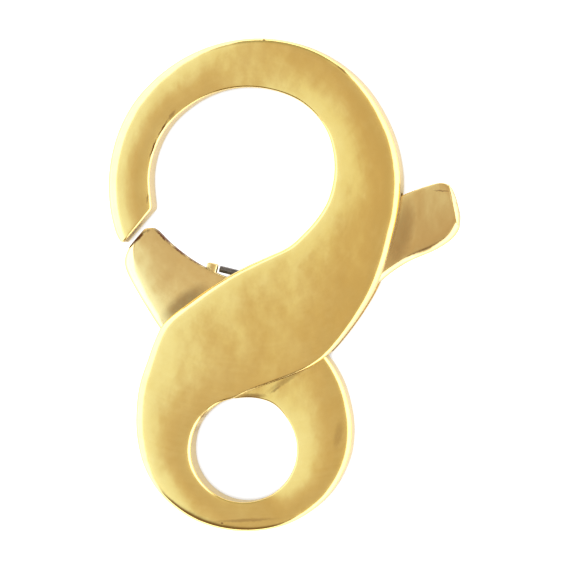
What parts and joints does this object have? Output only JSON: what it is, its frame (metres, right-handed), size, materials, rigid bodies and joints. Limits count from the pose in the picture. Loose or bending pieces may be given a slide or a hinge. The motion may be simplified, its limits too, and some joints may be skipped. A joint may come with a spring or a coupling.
{
  "type": "lobster clasp",
  "caption": "Flat figure-eight lobster clasp with a sprung trigger in its waist, a big hook loop and a round eye for the chain.",
  "frame": {"origin": "middle of the outline in plan, on the surface that the clasp lies on", "axes": "+Z out of the front face, +Y from the chain's eye to the hook's bow, +X towards the thumb lever"},
  "size_m": [0.0129, 0.018, 0.0022],
  "materials": {
    "body_gold": "polished 14 carat yellow gold",
    "trigger_gold": "polished 14 carat yellow gold",
    "pin_gold": "polished flush, 14 carat yellow gold",
    "spring_steel": "drawn spring wire"
  },
  "bodies": {
    "clasp": {"body": "body_gold", "pivot_pin": "pin_gold"},
    "lever": {"trigger": "trigger_gold", "spring": "spring_steel"}
  },
  "joints": [
    {"name": "trigger_pivot", "type": "hinge", "parent": "clasp", "child": "lever", "pos_m": [-0.0007, -0.00127, 0.00111], "axis": [0, 0, -1], "range_deg": [0, 24], "stiffness_Nm_per_rad": 0.006, "springref_deg": -40.11}
  ]
}
